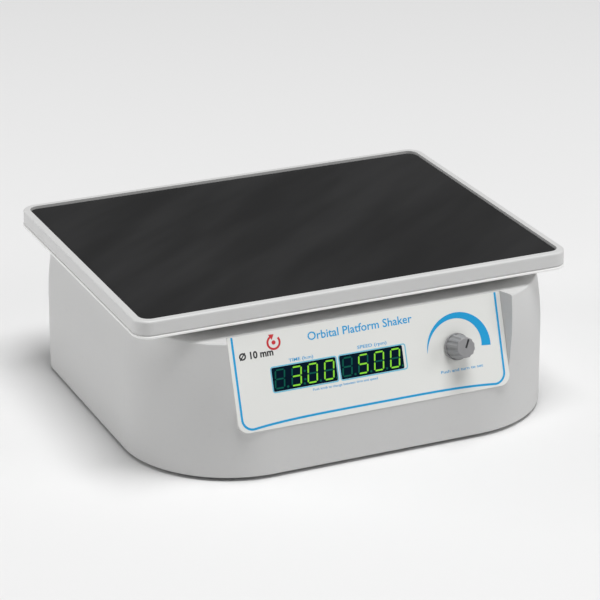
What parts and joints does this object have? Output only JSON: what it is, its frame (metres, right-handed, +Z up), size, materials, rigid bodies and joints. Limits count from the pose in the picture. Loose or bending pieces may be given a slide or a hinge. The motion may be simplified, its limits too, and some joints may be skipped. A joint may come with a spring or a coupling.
{
  "type": "orbital shaker",
  "caption": "Benchtop orbital shaker: a low moulded housing with a sloping control panel under a rimmed platform with a rubber mat that moves in a small level circle.",
  "frame": {"origin": "on the floor, under the middle of the whole object at rest", "axes": "+Z up, -Y the front with the control panel, +X the right-hand side seen from the front"},
  "size_m": [0.339, 0.284, 0.125],
  "materials": {
    "housing_plastic": "moulded, light grey, fine satin",
    "platform_coating": "powder-coated, light grey",
    "mat_rubber": "matte black, soft",
    "label_film": "printed polyester overlay, satin",
    "display_window": "dark green filter",
    "display_case": "potted LED module",
    "knob_plastic": "fluted, mid grey",
    "black_plastic": "moulded black",
    "foot_rubber": "matte",
    "belt_rubber": "matte",
    "screw_steel": "zinc plated",
    "bearing_steel": "ground",
    "zinc_steel": "zinc plated sheet",
    "motor_steel": "black lacquer",
    "bare_aluminium": "machined",
    "terminal_brass": "plated",
    "circuit_board": "green solder mask",
    "board_part": "moulded parts and cans",
    "wire_sleeve": "insulated leads"
  },
  "bodies": {
    "base": {"bearing_housing_screws": "screw_steel", "board_posts": "bare_aluminium", "bottom_plate": "zinc_steel", "bottom_screws": "screw_steel", "chassis_plate": "bare_aluminium", "chassis_posts": "bare_aluminium", "chassis_screws": "screw_steel", "control_board": "circuit_board", "control_board_parts": "board_part", "control_label": "label_film", "display_board": "circuit_board", "display_windows": "display_window", "drive_bearing_housing": "bare_aluminium", "drive_bearing_outer_rings": "bearing_steel", "drive_belt": "belt_rubber", "encoder_case": "bearing_steel", "encoder_nut": "bearing_steel", "foot_screws": "screw_steel", "fuse_drawer": "black_plastic", "housing_shell": "housing_plastic", "idler_bearing_housings": "bare_aluminium", "idler_bearing_outer_rings": "bearing_steel", "internal_wires": "wire_sleeve", "mains_inlet": "black_plastic", "mains_terminals": "terminal_brass", "motor_can": "motor_steel", "motor_screws": "screw_steel", "power_supply_board": "circuit_board", "power_supply_parts": "board_part", "power_switch_frame": "black_plastic", "rubber_feet": "foot_rubber", "speed_display": "display_case", "time_display": "display_case"},
    "drive_crank": {"drive_shaft": "bearing_steel", "drive_crank": "bearing_steel", "driven_pulley": "bare_aluminium", "counterweight": "zinc_steel", "drive_inner_rings": "bearing_steel"},
    "motor_rotor": {"motor_rotor": "motor_steel", "motor_shaft": "bearing_steel", "motor_pulley": "bare_aluminium"},
    "platform": {"platform_tray": "platform_coating", "platform_base_plate": "platform_coating", "platform_mat": "mat_rubber", "platform_bearing_cups": "bare_aluminium", "platform_bearing_outer_rings": "bearing_steel", "cup_screws": "screw_steel", "platform_screws": "screw_steel"},
    "push_plunger": {"encoder_push_plunger": "black_plastic"},
    "knob": {"encoder_shaft": "bare_aluminium", "control_knob": "knob_plastic"},
    "rocker": {"power_rocker": "black_plastic"},
    "idler_front_left": {"idler_crank_front_left": "bearing_steel", "inner_rings_front_left": "bearing_steel"},
    "idler_front_right": {"idler_crank_front_right": "bearing_steel", "inner_rings_front_right": "bearing_steel"},
    "idler_back_left": {"idler_crank_back_left": "bearing_steel", "inner_rings_back_left": "bearing_steel"},
    "idler_back_right": {"idler_crank_back_right": "bearing_steel", "inner_rings_back_right": "bearing_steel"}
  },
  "joints": [
    {"name": "drive_spin", "type": "hinge", "parent": "base", "child": "drive_crank", "pos_m": [0.00354, 0.01804, 0.08], "axis": [0, 0, 1], "continuous": true},
    {"name": "platform_orbit", "type": "hinge", "parent": "drive_crank", "child": "platform", "pos_m": [0, 0.0145, 0.1125], "axis": [0, 0, 1], "continuous": true},
    {"name": "motor_spin", "type": "hinge", "parent": "base", "child": "motor_rotor", "pos_m": [0.10154, 0.01804, 0.07], "axis": [0, 0, 1], "continuous": true},
    {"name": "idler_front_left_spin", "type": "hinge", "parent": "base", "child": "idler_front_left", "pos_m": [-0.11146, -0.05696, 0.08], "axis": [0, 0, 1], "continuous": true},
    {"name": "idler_front_right_spin", "type": "hinge", "parent": "base", "child": "idler_front_right", "pos_m": [0.11854, -0.05696, 0.08], "axis": [0, 0, 1], "continuous": true},
    {"name": "idler_back_left_spin", "type": "hinge", "parent": "base", "child": "idler_back_left", "pos_m": [-0.11146, 0.09304, 0.08], "axis": [0, 0, 1], "continuous": true},
    {"name": "idler_back_right_spin", "type": "hinge", "parent": "base", "child": "idler_back_right", "pos_m": [0.11854, 0.09304, 0.08], "axis": [0, 0, 1], "continuous": true},
    {"name": "knob_push", "type": "slide", "parent": "base", "child": "push_plunger", "axis": [0, 0.9483, -0.3173], "range_m": [0, 0.0006], "stiffness_N_per_m": 800, "springref_m": -0.003},
    {"name": "knob_turn", "type": "hinge", "parent": "push_plunger", "child": "knob", "pos_m": [0.07074, -0.12369, 0.07059], "axis": [0, -0.9483, 0.3173], "continuous": true},
    {"name": "rocker_tilt", "type": "hinge", "parent": "base", "child": "rocker", "pos_m": [0.05554, 0.1295, 0.033], "axis": [1, 0, 0], "range_deg": [0, 20]}
  ],
  "couplings": [
    {"joint": "drive_spin", "follows": "platform_orbit", "ratio": -1},
    {"joint": "motor_spin", "follows": "platform_orbit", "ratio": -4},
    {"joint": "idler_front_left_spin", "follows": "platform_orbit", "ratio": -1},
    {"joint": "idler_front_right_spin", "follows": "platform_orbit", "ratio": -1},
    {"joint": "idler_back_left_spin", "follows": "platform_orbit", "ratio": -1},
    {"joint": "idler_back_right_spin", "follows": "platform_orbit", "ratio": -1}
  ]
}
